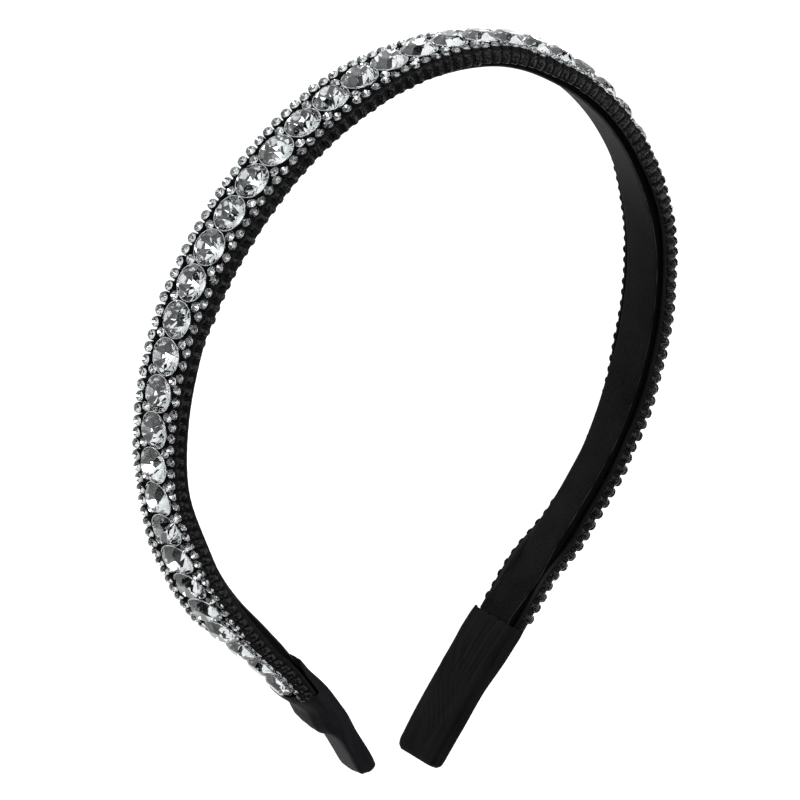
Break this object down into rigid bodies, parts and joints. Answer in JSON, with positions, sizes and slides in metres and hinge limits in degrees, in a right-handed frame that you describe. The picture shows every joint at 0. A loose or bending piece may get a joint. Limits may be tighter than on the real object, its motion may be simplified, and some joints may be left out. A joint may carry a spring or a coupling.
{
  "type": "rhinestone headband",
  "caption": "Rigid hoop headband, satin covered, with a band of large round stones between rows of small clear and black stones, and a ribbon sleeve on each end.",
  "frame": {"origin": "centre of the footprint, on the surface that the headband lies on", "axes": "+Y from the two ends towards the crown, +Z along the width of the band towards its front edge, +X towards the right end"},
  "size_m": [0.1236, 0.1532, 0.0125],
  "materials": {
    "satin": "black satin, softly shining",
    "trim": "black, matte",
    "clear_stone": "cut clear glass with a silver foil back",
    "black_stone": "faceted, glossy black",
    "ribbon": "fine ribbed black ribbon"
  },
  "bodies": {
    "root": {"hoop_band": "satin", "trim_base": "trim", "main_stones_left": "clear_stone", "main_stones_right": "clear_stone", "gap_stones_front": "clear_stone", "gap_stones_back": "clear_stone", "edge_stones_front": "clear_stone", "edge_stones_back": "clear_stone", "black_stones_front": "black_stone", "black_stones_back": "black_stone", "end_sleeve_left": "ribbon", "end_sleeve_right": "ribbon"}
  },
  "joints": []
}
